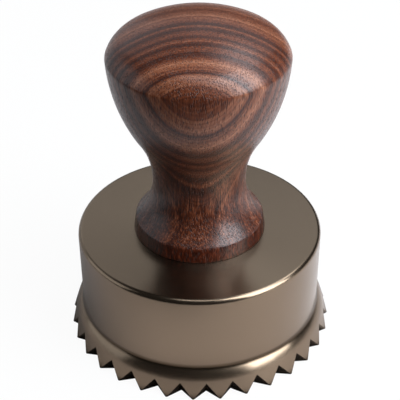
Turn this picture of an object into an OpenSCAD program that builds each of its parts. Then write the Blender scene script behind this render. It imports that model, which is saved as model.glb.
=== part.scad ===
// Round ravioli stamp: a turned wooden handle screwed to a one-piece metal drum.
// The drum is open below and ends in a flange with a zigzag cutting edge.
// Millimetres, +Z up, origin at the centre of the cutting edge.

/* [Cutting ring] */
// Diameter across the tooth tips
tip_d = 58; // [56.5:0.5:70]
// Number of teeth around the ring
teeth = 32; // [24:1:40]
// How far the grooves reach inwards at the bottom edge
tooth_depth = 2.6; // [1.8:0.1:3.2]
// Height of the grooves on the outer face
tooth_h = 3.5; // [2.6:0.1:4.4]
// Flat left on each tooth tip
tip_land = 0.3; // [0.1:0.1:1]
// Lean of the outer face, in degrees from upright
flare = 17.5; // [10:0.5:24]
// Height at which the flange leaves the wall
flange_h = 5.5; // [5:0.1:7]
// Radius of the rounded shoulder on the flange
shoulder_r = 4; // [3:0.1:6]
// Fillet in the corner between the wall and the flange
corner_r = 0.8; // [0.3:0.1:1.5]

/* [Drum] */
// Outer diameter of the drum
drum_d = 52.4; // [50:0.1:53]
// Height of the flat top above the cutting edge
drum_h = 24.3; // [19:0.1:34]
// Rounding of the rim around the top
rim_r = 0.8; // [0.3:0.1:2]

/* [Hollow for the filling] */
// Diameter of the hollow
hollow_d = 43.2; // [38:0.2:45]
// Thickness of the top plate
plate_t = 4; // [3.6:0.1:6]
// Rounding between the hollow's wall and its ceiling
ceiling_r = 5; // [1:0.5:8]
// Width of the flat band between the grooves and the inner bevel
band_w = 0.8; // [0.5:0.1:1.4]
// Height of the sealing rim above the cutting edge
seal_h = 1.2; // [0.6:0.1:1.8]
// Rounding of the sealing rim's inner edge
lip_r = 0.8; // [0.3:0.1:1.2]

/* [Handle] */
// Height of the handle above the drum
handle_h = 48.6; // [44:0.1:60]
// Diameter of the foot
foot_d = 28.2; // [24:0.1:34]
// Diameter where the foot's band ends and the flare starts
band_d = 27.2; // [23.5:0.1:33]
// Height of the foot's band
foot_band_h = 3.2; // [1.5:0.1:5]
// Diameter of the waist
waist_d = 19.5; // [16:0.1:22]
// Height of the waist above the foot
waist_z = 12; // [9:0.1:14]
// Diameter of the knob at its widest
knob_d = 36.6; // [32:0.1:42]
// Height of the knob's widest place above the foot
knob_z = 39.7; // [37:0.1:41]
// Rounding of the edge around the knob's top
knob_edge_r = 5.9; // [3:0.1:7]
// Radius of the full curve below the knob's edge
cheek_r = 36.4; // [30:0.1:44]
// Lean of that curve where it starts, in degrees from upright
cheek_lean = 4; // [0:0.5:8]

/* [Fixing screw] */
// Diameter of the screw's shank
screw_d = 4.2; // [3.5:0.1:5]
// Diameter of the countersunk head
screw_head_d = 8.4; // [7:0.1:9.5]
// How far the screw reaches into the handle
screw_grip = 20; // [12:0.5:26]
// Length of the screw's point
screw_point = 4; // [2:0.1:5]
// Depth of the cross in the screw's head
drive_depth = 1.8; // [1:0.1:2]
// Width of each arm of the cross
drive_w = 1; // [0.6:0.1:1.4]
// Diameter of the cross
drive_d = 4.2; // [3:0.1:4.6]
// Room around the shank in the top plate
screw_gap = 0.2; // [0.1:0.05:0.4]
// Room beyond the screw's point in the handle
pilot_room = 1.5; // [0.5:0.1:3]

/* [Hidden] */
$fn = 96;

// How far a cutting shape runs past the surface it cuts
past = 1;
// Length of the straight pieces that an arc is made of, and the fewest of them
arc_piece = 1.2;
least_pieces = 4;

tip_r = tip_d / 2;
wall_r = drum_d / 2;
hollow_r = hollow_d / 2;
ceiling_z = drum_h - plate_t;

// The shoulder's arc passes through the corner at the wall and is tangent to the flared face.
wall_corner = [wall_r, flange_h];
face_normal = [cos(flare), sin(flare)];
face_down = [sin(flare), -cos(flare)];
corner_gap = tip_r * cos(flare) - wall_corner * face_normal;
tangent_run = sqrt(2 * shoulder_r * corner_gap - corner_gap * corner_gap);
shoulder_centre = wall_corner + tangent_run * face_down + (corner_gap - shoulder_r) * face_normal;
shoulder_end_z = shoulder_centre[1] + shoulder_r * sin(flare);

// The corner's fillet touches the wall and the shoulder's arc.
fillet_reach = wall_r + corner_r - shoulder_centre[0];
fillet_turn = acos(fillet_reach / (shoulder_r + corner_r));
fillet_centre = shoulder_centre + (shoulder_r + corner_r) * [cos(fillet_turn), sin(fillet_turn)];

// Each groove's root line climbs outwards from the bottom edge to the outer face.
root_r = tip_r - tooth_depth;
root_lean = atan((face_radius(tooth_h) - root_r) / tooth_h);
half_pitch = 180 / teeth;
tip_reach = tip_r * cos(half_pitch) - root_r;
tip_side = tip_r * sin(half_pitch) - tip_land / 2;
groove_half_angle = atan(tip_side / (tip_reach * cos(root_lean)));

// The hollow's mouth, from the flat band up its bevel to the sealing rim
band_r = root_r - band_w;
seal_r = band_r - seal_h;

// The handle's outline, from its foot's band through the waist and the knob to the dome
foot_r = foot_d / 2;
band_top = [band_d / 2, foot_band_h];
waist = [waist_d / 2, waist_z];
knob = [knob_d / 2, knob_z];

// The flare's arc is upright at the waist and passes through the top of the band.
flare_run = band_top - waist;
flare_r = (flare_run * flare_run) / (2 * flare_run[0]);
flare_centre = waist + [flare_r, 0];
flare_turn = asin(flare_run[1] / flare_r);

// The neck's arc is upright at the waist too, and tangent to the cheek's arc.
cheek_centre = knob + cheek_r * [-cos(cheek_lean), sin(cheek_lean)];
neck_run = cheek_centre - waist;
neck_r = (neck_run * neck_run - cheek_r * cheek_r) / (2 * (cheek_r + neck_run[0]));
neck_centre = waist + [neck_r, 0];
neck_turn = asin(neck_run[1] / (neck_r + cheek_r));

// The dome's arc is centred on the axis and tangent to the arc of the knob's edge.
edge_centre = knob - [knob_edge_r, 0];
dome_rise = handle_h - knob_z;
dome_r = (edge_centre[0] * edge_centre[0] + dome_rise * dome_rise - knob_edge_r * knob_edge_r)
    / (2 * (dome_rise - knob_edge_r));
dome_centre = [0, handle_h - dome_r];
dome_turn = acos(edge_centre[0] / (dome_r - knob_edge_r));

// The screw's head is a 90 degree cone, flush with the hollow's ceiling.
screw_r = screw_d / 2;
head_r = screw_head_d / 2;
head_h = head_r - screw_r;
screw_end_z = drum_h + screw_grip;

// Radius of the flange's outer face at a height
function face_radius(z) =
    z < shoulder_end_z
        ? tip_r - z * tan(flare)
        : shoulder_centre[0] + sqrt(shoulder_r * shoulder_r - pow(z - shoulder_centre[1], 2));

// Points along an arc from one angle to another, in pieces about as long as arc_piece.
// Its last point is left off where the next arc starts there.
function arc(centre, r, from, to, last = true) =
    let(pieces = max(least_pieces, ceil(abs(to - from) * PI / 180 * r / arc_piece)))
    let(step = (to - from) / pieces)
    [for (i = [0 : last ? pieces : pieces - 1]) centre + r * [cos(from + i * step), sin(from + i * step)]];

// Half section of the drum and its flange, as turned on a lathe
module head_outline() {
    polygon(concat(
        [[seal_r, seal_h], [band_r, 0], [tip_r, 0]],
        arc(shoulder_centre, shoulder_r, flare, fillet_turn, last = false),
        arc(fillet_centre, corner_r, fillet_turn + 180, 180),
        arc([wall_r - rim_r, drum_h - rim_r], rim_r, 0, 90),
        [[0, drum_h], [0, ceiling_z]],
        arc([hollow_r - ceiling_r, ceiling_z - ceiling_r], ceiling_r, 90, 0),
        arc([hollow_r + lip_r, seal_h + lip_r], lip_r, 180, 270)
    ));
}

// One V groove of the cutting edge, at the +X side
module groove() {
    reach = tooth_depth + past;
    side = reach * tan(groove_half_angle);
    rise = tooth_h / cos(root_lean) + past;
    translate([root_r, 0, 0])
        rotate([0, root_lean, 0])
            translate([0, 0, -reach])
                linear_extrude(reach + rise)
                    polygon([[0, 0], [reach, -side], [reach, side]]);
}

// Grooves all round, with a tooth facing -Y
module zigzag_edge() {
    for (i = [0 : teeth - 1])
        rotate((i + 0.5) * 360 / teeth - 90)
            groove();
}

// The drum, open below, with its toothed flange and the hole for the screw
module stamp_head() {
    color("#7d6e60")
        difference() {
            rotate_extrude()
                head_outline();
            zigzag_edge();
            translate([0, 0, ceiling_z - past])
                cylinder(h = plate_t + 2 * past, r = screw_r + screw_gap);
            translate([0, 0, ceiling_z])
                cylinder(h = head_h, r1 = head_r, r2 = screw_r);
        }
}

// Half section of the handle, with z = 0 at its foot
module handle_outline() {
    polygon(concat(
        [[0, 0], [foot_r, 0]],
        arc(flare_centre, flare_r, 180 - flare_turn, 180, last = false),
        arc(neck_centre, neck_r, 180, 180 - neck_turn, last = false),
        arc(cheek_centre, cheek_r, -neck_turn, -cheek_lean),
        arc(edge_centre, knob_edge_r, 0, dome_turn, last = false),
        arc(dome_centre, dome_r, dome_turn, 90)
    ));
}

// The turned wooden handle, with a blind hole that the screw holds in
module handle() {
    color("#5a3020")
        difference() {
            translate([0, 0, drum_h])
                rotate_extrude()
                    handle_outline();
            translate([0, 0, drum_h - past])
                cylinder(h = screw_grip + pilot_room + past, r = screw_r);
        }
}

// The cross that the driver turns, open downwards
module drive_cross() {
    translate([0, 0, ceiling_z - past])
        intersection() {
            cylinder(h = drive_depth + past, r1 = drive_d / 2 + past, r2 = drive_w / 2);
            for (turn = [0, 90])
                rotate(turn)
                    translate([-drive_d / 2, -drive_w / 2, 0])
                        cube([drive_d, drive_w, drive_depth + past]);
        }
}

// The countersunk screw that holds the handle to the drum
module fixing_screw() {
    color("#b9bbbd")
        difference() {
            union() {
                translate([0, 0, ceiling_z])
                    cylinder(h = head_h, r1 = head_r, r2 = screw_r);
                translate([0, 0, ceiling_z])
                    cylinder(h = plate_t + screw_grip - screw_point, r = screw_r);
                translate([0, 0, screw_end_z - screw_point])
                    cylinder(h = screw_point, r1 = screw_r, r2 = 0);
            }
            drive_cross();
        }
}

stamp_head();
handle();
fixing_screw();
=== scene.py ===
from math import acos, asin, cos, pi, radians, sin, sqrt

import bmesh
import bpy
from mathutils import Matrix, Vector


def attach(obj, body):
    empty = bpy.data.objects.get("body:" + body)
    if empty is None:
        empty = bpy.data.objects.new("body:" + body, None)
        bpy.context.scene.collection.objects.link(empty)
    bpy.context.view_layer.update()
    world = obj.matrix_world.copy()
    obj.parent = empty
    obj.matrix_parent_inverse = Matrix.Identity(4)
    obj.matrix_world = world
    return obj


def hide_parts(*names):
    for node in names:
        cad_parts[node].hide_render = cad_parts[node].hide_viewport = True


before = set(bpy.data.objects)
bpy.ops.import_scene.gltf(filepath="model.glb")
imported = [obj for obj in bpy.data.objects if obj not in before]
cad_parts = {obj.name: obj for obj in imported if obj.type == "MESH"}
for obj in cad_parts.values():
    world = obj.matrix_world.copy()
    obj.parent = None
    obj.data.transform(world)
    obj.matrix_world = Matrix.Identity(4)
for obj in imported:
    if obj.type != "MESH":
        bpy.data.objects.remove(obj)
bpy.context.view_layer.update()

scene = bpy.context.scene
MM = 0.001

# Sizes of the stamp in millimetres. A pair is a radius and a height above the foot of the handle.
TEETH = 32
TIP_R, ROOT_R, TOOTH_H, TIP_LAND = 29.0, 26.4, 3.5, 0.3
FLARE, SHOULDER_R, CORNER_R = radians(17.5), 6.0, 1.3
WALL_R, FLANGE_H, DRUM_H, RIM_R = 26.2, 6.4, 24.3, 1.0
HOLLOW_R, PLATE_T, CEILING_R = 21.6, 4.0, 5.0
BAND_R, SEAL_R, SEAL_H, LIP_R = 25.6, 24.4, 1.2, 0.8
SCREW_R, SCREW_HOLE_R, SCREW_HEAD_R = 2.1, 2.3, 4.2
PILOT_DEPTH = 21.5
FOOT_R, BAND_TOP = 14.1, (13.6, 3.2)
WAIST, KNOB, HANDLE_H = (9.75, 12.0), (18.35, 40.7), 48.6
CHEEK_R, CHEEK_LEAN = 36.4, radians(2.4)
KNOB_EDGE_R, KNOB_EDGE_TURN = 7.0, radians(18)

# How wide the sharp edges are eased, in millimetres, and in how many steps
TOOTH_EASE, FOOT_EASE, BAND_EASE, KNOB_EASE = 0.07, 0.15, 0.3, 0.25
EASE_STEPS = 3

# Sharpest turn that is shaded as smooth, and the least turn that makes an edge of a tooth
SMOOTH_TURN = radians(40)
TOOTH_EDGE_TURN = radians(35)

# Points nearer to each other than this, in metres, are one point
TOUCHING = 1e-7


class Outline:
    """A half section that is turned round +Z, drawn from its start in millimetres."""

    def __init__(self, r, z):
        self.bm = bmesh.new()
        self.start = self.tip = bmesh.ops.create_vert(self.bm, co=(r * MM, 0, z * MM))["vert"][0]

    def line(self, r, z, pieces=1):
        run = (Vector((r * MM, 0, z * MM)) - self.tip.co) / pieces
        for _ in range(pieces):
            self.tip = bmesh.ops.extrude_vert_indiv(self.bm, verts=[self.tip])["verts"][0]
            self.tip.co += run

    def arc(self, r, z, turn, pieces):
        """Sweeps the end round a centre, anticlockwise where turn is positive."""
        swept = bmesh.ops.spin(
            self.bm, geom=[self.tip], cent=(r * MM, 0, z * MM), axis=(0, -1, 0), angle=turn, steps=pieces)
        self.tip = next(v for v in swept["geom_last"] if isinstance(v, bmesh.types.BMVert))

    def close(self):
        bmesh.ops.contextual_create(self.bm, geom=[self.tip, self.start])

    def turned(self, steps, angle=2 * pi):
        bmesh.ops.spin(
            self.bm, geom=self.bm.verts[:] + self.bm.edges[:], cent=(0, 0, 0), axis=(0, 0, 1),
            angle=angle, steps=steps, use_merge=angle == 2 * pi)
        bmesh.ops.remove_doubles(self.bm, verts=self.bm.verts, dist=TOUCHING)
        return self.bm


def ease(bm, edges, width):
    """Rounds sharp edges."""
    bmesh.ops.bevel(
        bm, geom=edges, offset=width * MM, segments=EASE_STEPS, profile=0.5, affect="EDGES", material=-1)


def ease_ring(bm, r, z, width):
    """Rounds the sharp ring at one radius and height."""
    def on_ring(v):
        return abs(v.co.z - z * MM) < 10 * TOUCHING and abs(v.co.xy.length - r * MM) < 100 * TOUCHING

    ease(bm, [e for e in bm.edges if all(on_ring(v) for v in e.verts)], width)


def piece(name, bm, node, finish):
    """Makes the finished piece that stands for a CAD node."""
    bmesh.ops.recalc_face_normals(bm, faces=bm.faces)
    mesh = bpy.data.meshes.new(name)
    bm.to_mesh(mesh)
    bm.free()
    mesh.shade_smooth()
    mesh.set_sharp_from_angle(angle=SMOOTH_TURN)
    mesh.materials.append(finish)
    made = bpy.data.objects.new(name, mesh)
    scene.collection.objects.link(made)
    even = made.modifiers.new("even_shading", "WEIGHTED_NORMAL")
    even.keep_sharp = True
    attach(made, "root")
    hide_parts(node)


def drum_outline():
    """Half section of the drum and its flange, and the centre of the flange's shoulder."""
    gap = TIP_R * cos(FLARE) - WALL_R * cos(FLARE) - FLANGE_H * sin(FLARE)
    run = sqrt(2 * SHOULDER_R * gap - gap * gap)
    shoulder = (
        WALL_R + run * sin(FLARE) + (gap - SHOULDER_R) * cos(FLARE),
        FLANGE_H - run * cos(FLARE) + (gap - SHOULDER_R) * sin(FLARE))
    reach = SHOULDER_R + CORNER_R
    turn = acos((WALL_R + CORNER_R - shoulder[0]) / reach)
    corner = (shoulder[0] + reach * cos(turn), shoulder[1] + reach * sin(turn))
    ceiling = DRUM_H - PLATE_T
    outline = Outline(BAND_R, 0)
    outline.line(TIP_R, 0)
    outline.line(shoulder[0] + SHOULDER_R * cos(FLARE), shoulder[1] + SHOULDER_R * sin(FLARE))
    outline.arc(*shoulder, turn - FLARE, pieces=10)
    outline.arc(*corner, -turn, pieces=10)
    outline.line(WALL_R, DRUM_H - RIM_R, pieces=4)
    outline.arc(WALL_R - RIM_R, DRUM_H - RIM_R, pi / 2, pieces=8)
    outline.line(SCREW_HOLE_R, DRUM_H, pieces=6)
    outline.line(SCREW_HOLE_R, ceiling + SCREW_HEAD_R - SCREW_HOLE_R)
    outline.line(SCREW_HEAD_R, ceiling)
    outline.line(HOLLOW_R - CEILING_R, ceiling, pieces=3)
    outline.arc(HOLLOW_R - CEILING_R, ceiling - CEILING_R, -pi / 2, pieces=10)
    outline.line(HOLLOW_R, SEAL_H + LIP_R, pieces=3)
    outline.arc(HOLLOW_R + LIP_R, SEAL_H + LIP_R, pi / 2, pieces=5)
    outline.line(SEAL_R, SEAL_H)
    outline.close()
    return outline, shoulder


def cut_groove_flank(bm, side, half, face_r):
    """Cuts one side of the tooth that faces -Y with the flat flank of a groove, and closes the cut."""
    out = Vector((sin(side * half), -cos(side * half), 0))
    across = Vector((-cos(half), -side * sin(half), 0)) * side
    valley = ROOT_R * MM * out
    apex = MM * (face_r * out + Vector((0, 0, TOOTH_H)))
    tip = MM * (TIP_R * cos(half) * out + (TIP_R * sin(half) - TIP_LAND / 2) * across)
    flat = (apex - valley).cross(tip - valley).normalized()
    if flat.dot(across) > 0:
        flat.negate()
    cut = bmesh.ops.bisect_plane(
        bm, geom=bm.verts[:] + bm.edges[:] + bm.faces[:], dist=TOUCHING / 10, plane_co=valley, plane_no=flat,
        clear_outer=True)["geom_cut"]
    beside = out.cross(Vector((0, 0, 1)))
    ends = [v for v in cut if isinstance(v, bmesh.types.BMVert) and abs(v.co.dot(beside)) < TOUCHING]
    root = [min(ends, key=lambda v: v.co.z), max(ends, key=lambda v: v.co.z)]
    root_line = bmesh.ops.contextual_create(bm, geom=root)["edges"]
    bmesh.ops.edgenet_fill(bm, edges=[e for e in cut if isinstance(e, bmesh.types.BMEdge)] + root_line)


def stamp_head(finish):
    """One tooth with its share of the drum, cut by two groove flanks, then copied all round."""
    outline, shoulder = drum_outline()
    half = pi / TEETH
    bm = outline.turned(8, 2 * half)
    bmesh.ops.rotate(bm, verts=bm.verts, cent=(0, 0, 0), matrix=Matrix.Rotation(-pi / 2 - half, 3, "Z"))
    face_r = shoulder[0] + sqrt(SHOULDER_R ** 2 - (TOOTH_H - shoulder[1]) ** 2)
    for side in (-1, 1):
        cut_groove_flank(bm, side, half, face_r)
    bmesh.ops.recalc_face_normals(bm, faces=bm.faces)
    bmesh.ops.spin(
        bm, geom=bm.verts[:] + bm.edges[:] + bm.faces[:], cent=(0, 0, 0), axis=(0, 0, 1),
        angle=2 * pi - 2 * half, steps=TEETH - 1, use_duplicate=True)
    bmesh.ops.remove_doubles(bm, verts=bm.verts, dist=2 * TOUCHING)
    bmesh.ops.recalc_face_normals(bm, faces=bm.faces)
    margin = 0.1

    def on_tooth(v):
        return v.co.z < (TOOTH_H + margin) * MM and v.co.xy.length > (BAND_R - margin) * MM

    sharp = [e for e in bm.edges if e.is_manifold and e.calc_face_angle() > TOOTH_EDGE_TURN
             and all(on_tooth(v) for v in e.verts)]
    ease(bm, sharp, TOOTH_EASE)
    piece("drum", bm, "stamp_head", finish)


def handle(finish):
    """The turned handle, from the bottom of its blind hole round the outside to the top."""
    run = (BAND_TOP[0] - WAIST[0], WAIST[1] - BAND_TOP[1])
    flare_r = (run[0] ** 2 + run[1] ** 2) / (2 * run[0])
    flare_turn = asin(run[1] / flare_r)
    cheek = (KNOB[0] - CHEEK_R * cos(CHEEK_LEAN), KNOB[1] + CHEEK_R * sin(CHEEK_LEAN))
    run = (cheek[0] - WAIST[0], cheek[1] - WAIST[1])
    neck_r = (run[0] ** 2 + run[1] ** 2 - CHEEK_R ** 2) / (2 * (CHEEK_R + run[0]))
    neck_turn = asin(run[1] / (neck_r + CHEEK_R))
    edge = (KNOB[0] - KNOB_EDGE_R * cos(KNOB_EDGE_TURN), KNOB[1] - KNOB_EDGE_R * sin(KNOB_EDGE_TURN))
    rise = HANDLE_H - edge[1]
    dome_r = (edge[0] ** 2 + rise ** 2 - KNOB_EDGE_R ** 2) / (2 * (rise - KNOB_EDGE_R))
    dome_turn = acos(edge[0] / (dome_r - KNOB_EDGE_R))
    foot = DRUM_H
    outline = Outline(0, foot + PILOT_DEPTH)
    outline.line(SCREW_R, foot + PILOT_DEPTH)
    outline.line(SCREW_R, foot, pieces=4)
    outline.line(FOOT_R, foot, pieces=3)
    outline.line(BAND_TOP[0], foot + BAND_TOP[1], pieces=3)
    outline.arc(WAIST[0] + flare_r, foot + WAIST[1], -flare_turn, pieces=16)
    outline.arc(WAIST[0] + neck_r, foot + WAIST[1], -neck_turn, pieces=20)
    outline.arc(cheek[0], foot + cheek[1], neck_turn - CHEEK_LEAN, pieces=28)
    outline.arc(edge[0], foot + edge[1], dome_turn - KNOB_EDGE_TURN, pieces=14)
    outline.arc(0, foot + HANDLE_H - dome_r, pi / 2 - dome_turn, pieces=18)
    bm = outline.turned(192)
    ease_ring(bm, FOOT_R, foot, FOOT_EASE)
    ease_ring(bm, BAND_TOP[0], foot + BAND_TOP[1], BAND_EASE)
    ease_ring(bm, KNOB[0], foot + KNOB[1], KNOB_EASE)
    piece("handle_turned", bm, "handle", finish)


class Field:
    """A number that varies over a surface. Arithmetic on it adds Math nodes."""

    def __init__(self, finish, socket):
        self.finish, self.socket = finish, socket

    def math(self, operation, *values):
        made = self.finish.node("ShaderNodeMath", {"operation": operation}, dict(enumerate(values)))
        return Field(self.finish, made.outputs[0])

    def __add__(self, other):
        return self.math("ADD", self, other)

    def __radd__(self, other):
        return self.math("ADD", other, self)

    def __sub__(self, other):
        return self.math("SUBTRACT", self, other)

    def __rsub__(self, other):
        return self.math("SUBTRACT", other, self)

    def __mul__(self, other):
        return self.math("MULTIPLY", self, other)

    def __rmul__(self, other):
        return self.math("MULTIPLY", other, self)

    def __truediv__(self, other):
        return self.math("DIVIDE", self, other)

    def __rtruediv__(self, other):
        return self.math("DIVIDE", other, self)

    def __pow__(self, other):
        return self.math("POWER", self, other)

    def positive(self):
        return self.math("MAXIMUM", self, 0.0)

    def between(self, low, high):
        """0 below low, 1 above high, eased in between."""
        made = self.finish.node(
            "ShaderNodeMapRange", {"interpolation_type": "SMOOTHSTEP"},
            {"Value": self, "From Min": low, "From Max": high})
        return Field(self.finish, made.outputs[0])


class Finish:
    """A material and the nodes that make it."""

    def __init__(self, name, **constants):
        self.material = bpy.data.materials.new(name)
        self.material.use_nodes = True
        self.tree = self.material.node_tree
        self.surface = self.tree.nodes["Principled BSDF"]
        for socket, value in constants.items():
            self.surface.inputs[socket.replace("_", " ")].default_value = value
        self.place = self.node("ShaderNodeTexCoord").outputs["Object"]

    def node(self, kind, settings=None, sockets=None):
        made = self.tree.nodes.new(kind)
        for key, value in (settings or {}).items():
            if key == "stops":
                self.set_stops(made.color_ramp.elements, value)
            else:
                setattr(made, key, value)
        for key, value in (sockets or {}).items():
            self.feed(made.inputs[key], value)
        return made

    def set_stops(self, ramp, stops):
        """A ramp starts with two stops, which become the first and the last."""
        for at, colour in stops[1:-1]:
            ramp.new(at).color = (*colour, 1)
        for element, (at, colour) in zip((ramp[0], ramp[-1]), (stops[0], stops[-1])):
            element.position, element.color = at, (*colour, 1)

    def feed(self, socket, value):
        if isinstance(value, Field):
            value = value.socket
        if isinstance(value, bpy.types.NodeSocket):
            self.tree.links.new(value, socket)
        else:
            socket.default_value = value

    def scaled(self, x, y, z):
        """Object coordinates in counts per millimetre along each axis."""
        scale = (x / MM, y / MM, z / MM)
        return self.node("ShaderNodeMapping", {}, {"Vector": self.place, "Scale": scale}).outputs[0]

    def axes(self):
        """The place on the surface in millimetres, as three numbers."""
        parts = self.node("ShaderNodeSeparateXYZ", {}, {0: self.scaled(1, 1, 1)})
        return [Field(self, part) for part in parts.outputs]

    def noise(self, vector, detail=2.0, roughness=0.5):
        made = self.node(
            "ShaderNodeTexNoise", {},
            {"Vector": vector, "Scale": 1.0, "Detail": detail, "Roughness": roughness})
        return Field(self, made.outputs["Fac"])

    def noise_along(self, value, detail):
        """Noise that changes with one number only."""
        made = self.node(
            "ShaderNodeTexNoise", {"noise_dimensions": "1D"},
            {"W": value, "Scale": 1.0, "Detail": detail, "Roughness": 0.6})
        return Field(self, made.outputs["Fac"])

    def mix(self, share, one, other, blend="MIX"):
        made = self.node(
            "ShaderNodeMix", {"data_type": "RGBA", "blend_type": blend}, {"Factor": share, 6: one, 7: other})
        return made.outputs[2]

    def ramp(self, value, stops):
        return self.node("ShaderNodeValToRGB", {"stops": stops}, {"Fac": value}).outputs[0]

    def bump(self, height, depth):
        """Relief, with the depth in millimetres of one step of height."""
        sockets = {"Height": height, "Distance": depth * MM, "Strength": 0.6}
        return self.node("ShaderNodeBump", {}, sockets).outputs[0]

    def finished(self, colour, roughness, normal=None):
        """Feeds what varies over the surface, and gives the material."""
        self.feed(self.surface.inputs["Base Color"], colour)
        self.feed(self.surface.inputs["Roughness"], roughness)
        if normal is not None:
            self.feed(self.surface.inputs["Normal"], normal)
        return self.material


def srgb(r, g, b):
    """A colour as it looks on a screen, from 0 to 255, as the light that a shader works in."""
    return tuple(c / 255 / 12.92 if c <= 10 else ((c / 255 + 0.055) / 1.055) ** 2.4 for c in (r, g, b))


# Where the pith runs at the height of the knob's crease, in millimetres, and how far it bends away
# to the front for each millimetre below and above
PITH = (2.0, -44.0)
BEND_BELOW, BEND_ABOVE = 0.38, 0.3

# Growth rings: distance from the pith in millimetres, and how light the wood is there.
# The distances are those of the rings in the photograph, and the lightness is set one by one.
RINGS = [
    (25.0, 0.42), (26.2, 0.38), (27.6, 0.46), (28.3, 0.64), (28.7, 0.55), (29.3, 0.72), (29.8, 0.5),
    (30.1, 0.2), (30.6, 0.42), (31.6, 0.58), (32.4, 0.75), (33.2, 0.55), (34.5, 0.18), (35.6, 0.48),
    (36.4, 0.38), (36.8, 0.15), (38.2, 0.55), (39.0, 0.2), (40.2, 0.5), (41.8, 0.15), (42.8, 0.55),
    (43.6, 0.1), (45.0, 0.4),
]

# Colours of the walnut from its darkest to its lightest, of its open pores, the painted light and shade of
# its right and left sides, and the tint of the foot's band
WALNUT_TONES = [
    (0.0, srgb(34, 12, 6)), (0.3, srgb(68, 32, 18)), (0.5, srgb(100, 54, 34)),
    (0.75, srgb(138, 90, 66)), (1.0, srgb(164, 118, 96)),
]
PORE_DARK = (*srgb(24, 9, 6), 1)
SHADED_LEFT_TINT, LIT_RIGHT_TINT = (1.0, 0.9, 0.84, 1), (1.08, 1.0, 0.94, 1)
FOOT_TINT = (0.6, 0.4, 0.3, 1)


def walnut():
    """Dark walnut, oiled: growth rings round a pith in front of it, fibres and open pores along +Z."""
    wood = Finish("walnut", Specular_IOR_Level=0.3, Coat_Weight=0.35, Coat_Roughness=0.27)
    x, y, z = wood.axes()
    crease = DRUM_H + KNOB[1]
    bend = (crease - z).positive() * BEND_BELOW + (z - crease).positive() * BEND_ABOVE
    drift = wood.noise(wood.scaled(0.05, 0.05, 0.02)) - 0.5
    far = ((x - PITH[0]) ** 2.0 + (y - PITH[1] + bend) ** 2.0) ** 0.5 + drift * 1.4

    # Rings near the pith are the ones of the list, and those farther out wander
    nearest, span = RINGS[0][0], RINGS[-1][0] - RINGS[0][0]
    stops = [((ring - nearest) / span, (light,) * 3) for ring, light in RINGS]
    rings = Field(wood, wood.ramp((far - nearest) / span, stops))
    wander_and_top_sheen = wood.noise_along(far * 0.45, 3.0).between(0.25, 0.8) * 0.4 + 0.12
    # Painted sheen: the wood that wanders is painted lighter towards the top of the knob, standing in for
    # light from above
    wander_and_top_sheen = wander_and_top_sheen + z.between(28.0, 60.0) * 0.25
    farther = far.between(43.0, 47.0)
    fine_lines = wood.noise_along(far * 2.6, 2.0) - 0.5
    fibre = wood.noise(wood.scaled(3.0, 3.0, 0.16), 3.0, 0.6)
    fibre_contrast = 1.5 - z.between(34.0, 48.0) * 0.8
    tone = rings * (1.0 - farther) + wander_and_top_sheen * farther + fine_lines * 0.4 + (fibre - 0.5) * fibre_contrast
    colour = wood.ramp(tone, WALNUT_TONES)

    # Painted light and shade: the wood is painted lighter towards the right, where the key light falls,
    # and darker on the left. It is also darker on the foot's band
    painted_side_light = wood.mix(x.between(-14.0, 8.0), SHADED_LEFT_TINT, LIT_RIGHT_TINT)
    colour = wood.mix(1.0, colour, painted_side_light, "MULTIPLY")
    band_top = DRUM_H + BAND_TOP[1]
    on_band = 1.0 - z.between(band_top - 0.9, band_top + 0.9)
    colour = wood.mix(on_band, colour, wood.mix(1.0, colour, FOOT_TINT, "MULTIPLY"))

    cells = wood.node("ShaderNodeTexVoronoi", {"feature": "F1"},
                      {"Vector": wood.scaled(3.6, 3.6, 0.6), "Scale": 1.0, "Randomness": 1.0})
    pore = 1.0 - Field(wood, cells.outputs["Distance"]).between(0.18, 0.46)
    colour = wood.mix(pore * 0.65, colour, PORE_DARK)
    roughness = 0.33 + pore * 0.3 + (fibre - 0.5) * 0.2
    return wood.finished(colour, roughness, wood.bump(fibre * 0.5 - pore, 0.1))


def anodised():
    """Fine satin aluminium, anodised in a warm bronze grey, with faint lines from the lathe."""
    metal = Finish(
        "anodised_aluminium", Metallic=1.0, Anisotropic=0.7, Anisotropic_Rotation=0.25, Coat_Weight=0.15,
        Coat_Roughness=0.12)
    x, y, z = metal.axes()
    out = (x * x + y * y) ** 0.5
    turning = metal.noise_along((out - z) * 9.0, 2.0)
    cloud = metal.noise(metal.scaled(0.08, 0.08, 0.08), 3.0)
    grit = metal.noise(metal.scaled(9, 9, 9))
    bronze, pale_bronze = (0.215, 0.157, 0.108, 1), (0.235, 0.172, 0.12, 1)
    colour = metal.mix(cloud * 0.7 + turning * 0.3, bronze, pale_bronze)

    # Painted shade: a dark line painted in the corner between the wall and the flange, where shade falls
    shade_line_r, shade_line_z, painted_corner_shade = WALL_R + 0.2, FLANGE_H + 0.2, (0.05, 0.03, 0.015, 1)
    off_shade_line = ((out - shade_line_r) ** 2.0 + (z - shade_line_z) ** 2.0) ** 0.5
    colour = metal.mix((1.0 - off_shade_line.between(0.2, 0.8)) * 0.8, colour, painted_corner_shade)
    roughness = 0.25 + (grit - 0.5) * 0.06 + (turning - 0.5) * 0.05
    return metal.finished(colour, roughness, metal.bump(grit * 0.5 + turning * 0.5, 0.002))


def zinc():
    """Zinc plated steel of the screw."""
    metal = Finish("zinc_plate", Metallic=1.0)
    grit = metal.noise(metal.scaled(4, 4, 4))
    colour = metal.mix(grit, (*srgb(176, 178, 180), 1), (*srgb(205, 206, 208), 1))
    return metal.finished(colour, 0.25 + grit * 0.15)


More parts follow.
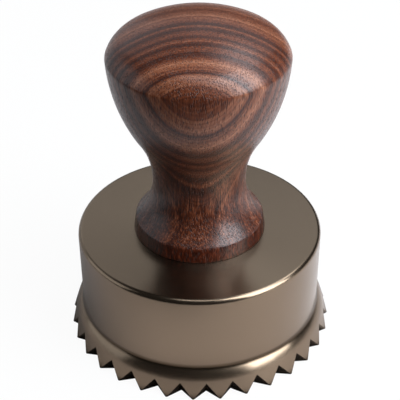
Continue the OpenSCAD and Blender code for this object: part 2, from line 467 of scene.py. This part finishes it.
# Softboxes: name, degrees round from the front towards the right, degrees up, width, height, brightness
SOFTBOXES = [
    ("key_right", 65, 41, 0.42, 0.66, 7.8),
    ("low_right", 55, 14, 0.26, 0.18, 2.4),
    ("high_right", 125, 60, 0.30, 0.25, 4.0),
    ("overhead_front", -5, 75, 0.20, 0.14, 3.6),
    ("card_left", -85, 18, 0.51, 0.45, 0.85),
    ("card_back_left", -135, 14, 0.60, 0.36, 0.45),
    ("back_right", 160, 42, 0.40, 0.34, 0.75),
    ("back_left", 205, 40, 0.40, 0.34, 0.55),
]
COOL_WHITE = (0.93, 1.0, 1.07)

# How far the softboxes stand from the middle of the stamp, and where that middle is, in metres
SOFTBOX_FAR, STAMP_MIDDLE = 0.6, Vector((0, 0, 0.035))

# How bright the room is in reflections, and how far the floor reaches each way, in metres
AMBIENT, FLOOR_REACH = 0.04, 4
WHITE = (1, 1, 1, 1)


def room():
    """A room that is white to the camera and dim to everything else."""
    scene.world = bpy.data.worlds.new("studio")
    scene.world.use_nodes = True
    tree = scene.world.node_tree
    background = tree.nodes["Background"]
    seen = tree.nodes.new("ShaderNodeLightPath").outputs["Is Camera Ray"]
    glow = tree.nodes.new("ShaderNodeMapRange")
    glow.inputs["To Min"].default_value, glow.inputs["To Max"].default_value = AMBIENT, 1.0
    tree.links.new(seen, glow.inputs["Value"])
    tree.links.new(glow.outputs[0], background.inputs["Strength"])
    background.inputs["Color"].default_value = WHITE


def floor():
    """The pale floor that the stamp stands on."""
    bm = bmesh.new()
    bmesh.ops.create_grid(bm, x_segments=1, y_segments=1, size=FLOOR_REACH)
    mesh = bpy.data.meshes.new("floor")
    bm.to_mesh(mesh)
    bm.free()
    mesh.materials.append(pale_floor())
    ground = bpy.data.objects.new("floor", mesh)
    scene.collection.objects.link(ground)


def softboxes():
    """The softboxes round the stamp, all facing it."""
    for name, round_z, up, width, height, brightness in SOFTBOXES:
        light = bpy.data.lights.new(name, "AREA")
        light.shape, light.size, light.size_y = "RECTANGLE", width, height
        light.energy = brightness * pi * width * height
        light.color = COOL_WHITE
        lamp = bpy.data.objects.new(name, light)
        scene.collection.objects.link(lamp)
        round_z, up = radians(round_z), radians(up)
        away = Vector((sin(round_z) * cos(up), -cos(round_z) * cos(up), sin(up)))
        lamp.location = STAMP_MIDDLE + SOFTBOX_FAR * away
        lamp.rotation_euler = (-away).to_track_quat("-Z", "Y").to_euler()


def pale_floor():
    """Card that the camera sees nearly white, with a faint shadow. The metal and the wood see it as
    a warm sheet with painted shade close round the stamp and on the left, and dark beyond its front end."""
    card = Finish("pale_floor", Roughness=0.9, Specular_IOR_Level=0.1)
    x, y, _ = card.axes()
    away = (x * x + y * y) ** 0.5
    # Painted shadow: the floor is painted dark close round the stamp, where its teeth shade it, less far out
    # on the right
    past_painted_shadow = (away + (x / away) ** 2.0 * 3.0).between(31.0, 33.5)
    past_front_end = (0.0 - y - x * 0.27).between(57, 63)
    # Painted shade: the floor is painted dimmer on the left, where the stamp's shadow falls
    painted_left_shade = (0.0 - x / away).between(0.3, 1.0)
    painted_sheet_light = past_painted_shadow * (1.0 - past_front_end) * (1.0 - painted_left_shade * 0.35)
    fleck = card.noise(card.scaled(0.5, 0.5, 0.5))
    warm = card.mix(fleck, (0.755, 0.705, 0.685, 1), (0.795, 0.74, 0.72, 1))
    card.feed(card.surface.inputs["Base Color"], card.mix(painted_sheet_light, (0.02, 0.02, 0.02, 1), warm))
    seen = card.node("ShaderNodeLightPath").outputs["Is Camera Ray"]
    shaded = card.node("ShaderNodeBsdfDiffuse", {}, {"Color": (0.75, 0.75, 0.75, 1)}).outputs[0]
    white = card.node("ShaderNodeEmission", {}, {"Color": WHITE, "Strength": 1.0}).outputs[0]
    to_camera = card.node("ShaderNodeMixShader", {}, {0: 0.95, 1: shaded, 2: white}).outputs[0]
    to_others = card.surface.outputs[0]
    both = card.node("ShaderNodeMixShader", {}, {0: seen, 1: to_others, 2: to_camera}).outputs[0]
    card.feed(card.tree.nodes["Material Output"].inputs["Surface"], both)
    return card.material


# The camera's lens and film in millimetres, its distance from the origin in metres, and its angles
# in degrees, as fitted to the photograph: up, round from the front, and its own turns about X, Y, Z
LENS, FILM = 95.682, 36.0
CAMERA_FAR, CAMERA_UP, CAMERA_ROUND = 0.245693, 40.888, 3.094
CAMERA_TURNS = (54.915, -0.035, -0.377)


def camera():
    """Stands where the photograph was taken: 41 degrees up, a little to the right of the -Y tooth."""
    lens = bpy.data.cameras.new("camera")
    lens.sensor_width, lens.lens = FILM, LENS
    lens.clip_start = 0.01
    made = bpy.data.objects.new("camera", lens)
    scene.collection.objects.link(made)
    up = radians(CAMERA_UP)
    place = Vector((0, -CAMERA_FAR * cos(up), CAMERA_FAR * sin(up)))
    tilt, lean, roll = (
        Matrix.Rotation(radians(turn), 4, axis) for turn, axis in zip(CAMERA_TURNS, "XYZ"))
    around = Matrix.Rotation(radians(CAMERA_ROUND), 4, "Z")
    made.matrix_world = around @ Matrix.Translation(place) @ (tilt @ lean @ roll)
    scene.camera = made


camera()
room()
floor()
softboxes()
stamp_head(anodised())
handle(walnut())

plated = zinc()
for screw_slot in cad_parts["fixing_screw"].material_slots:
    screw_slot.material = plated

scene.view_settings.view_transform = "Standard"
